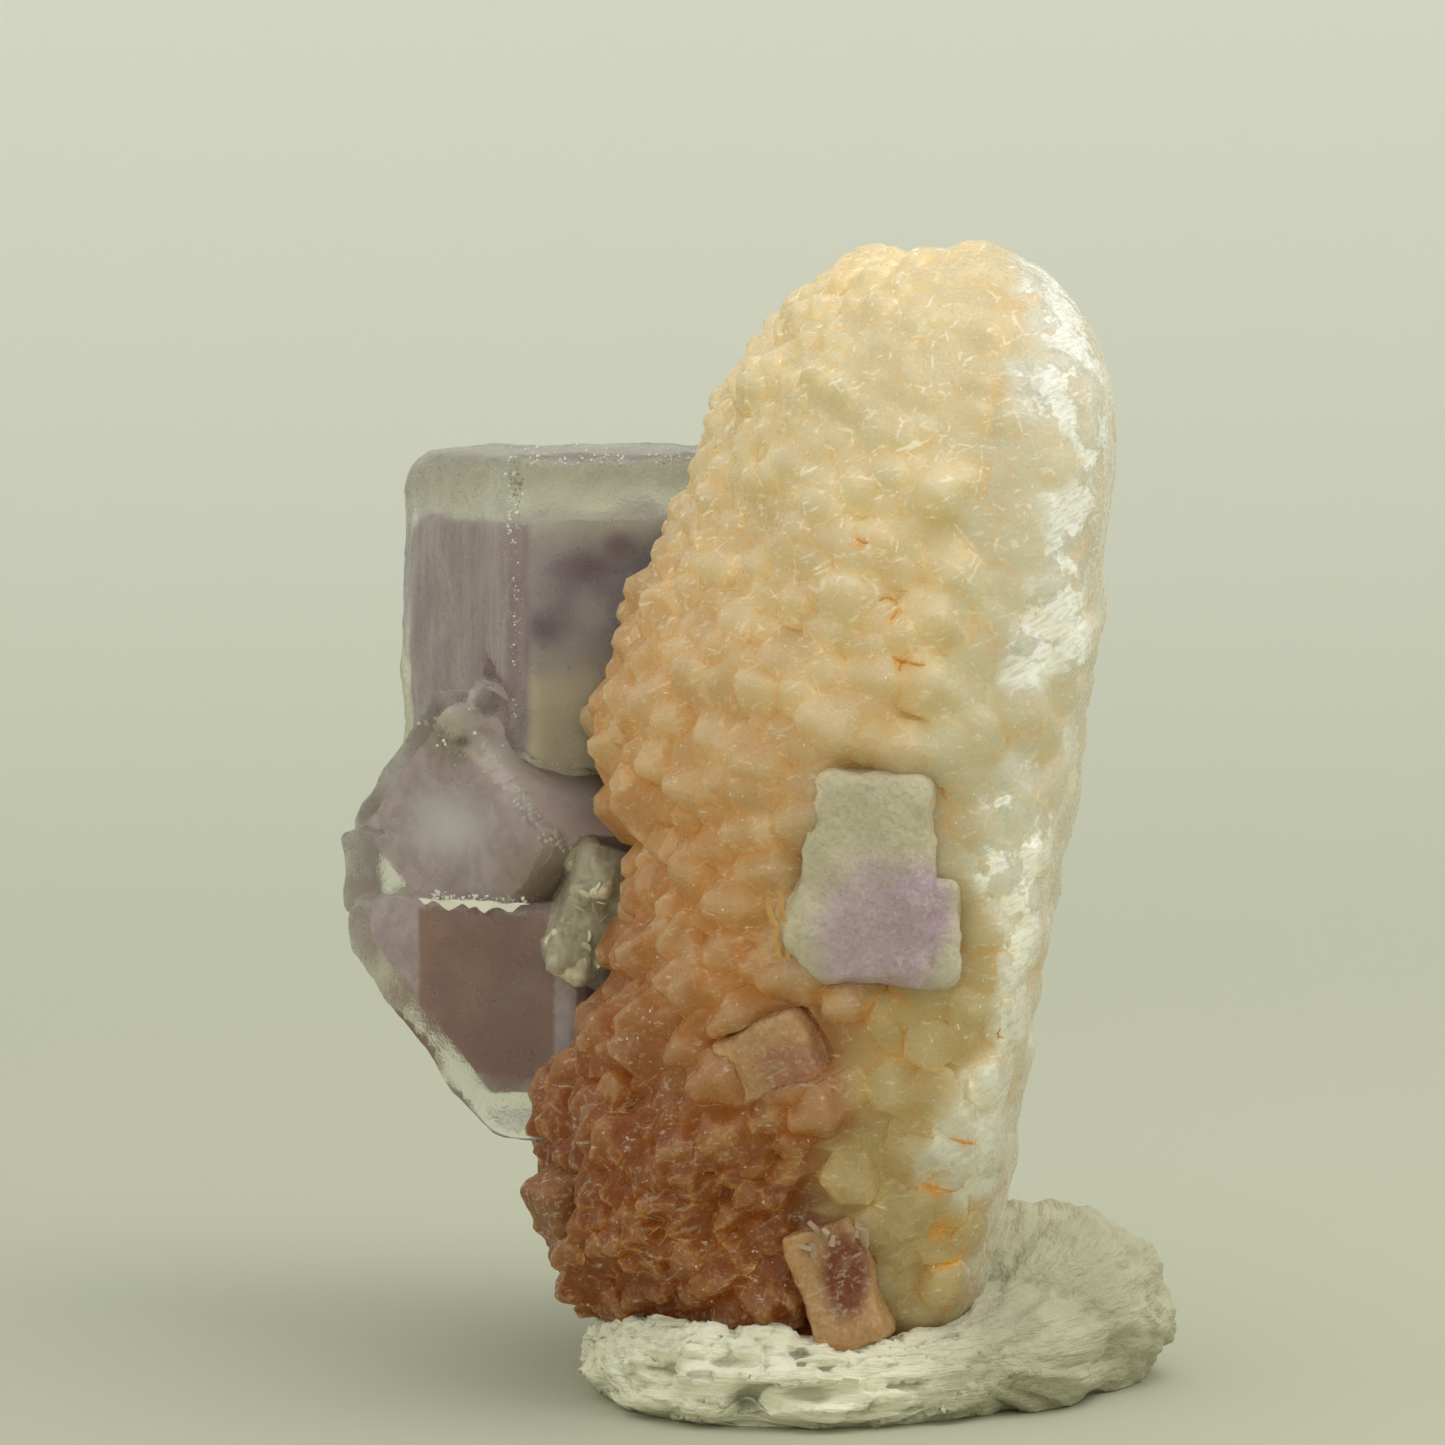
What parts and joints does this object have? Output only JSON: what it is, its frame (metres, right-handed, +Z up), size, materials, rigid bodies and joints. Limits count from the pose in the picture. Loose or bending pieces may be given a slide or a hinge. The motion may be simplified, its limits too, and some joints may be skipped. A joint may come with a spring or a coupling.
{
  "type": "phantom fluorite on quartz specimen",
  "caption": "Leaning slab of crystal-crusted quartz with purple zoned fluorite cubes grown on it, held upright in a lump of mineral putty.",
  "frame": {"origin": "on the putty's flat underside, below the foot of the quartz plate", "axes": "+Z up, +X from the crusted face with the large fluorites towards the plate's flat back, +Y from the broken near edge to the far edge; the picture looks along +Y"},
  "size_m": [0.0457, 0.0466, 0.0628],
  "materials": {
    "quartz": "peach drusy quartz, translucent, glittering crystal faces",
    "zoned_fluorite": "clear greenish outer zone over a purple phantom, softly frosted faces",
    "frosted_fluorite": "frosted, pale green rim and purple middle",
    "brown_fluorite": "smooth, brownish purple",
    "putty": "matte off-white putty, kneaded and torn"
  },
  "bodies": {
    "root": {"quartz_plate": "quartz", "upper_fluorite": "zoned_fluorite", "lower_fluorite": "zoned_fluorite", "face_fluorite": "frosted_fluorite", "middle_fluorite": "frosted_fluorite", "foot_fluorite": "frosted_fluorite", "corner_fluorite": "brown_fluorite", "mounting_putty": "putty"}
  },
  "joints": []
}
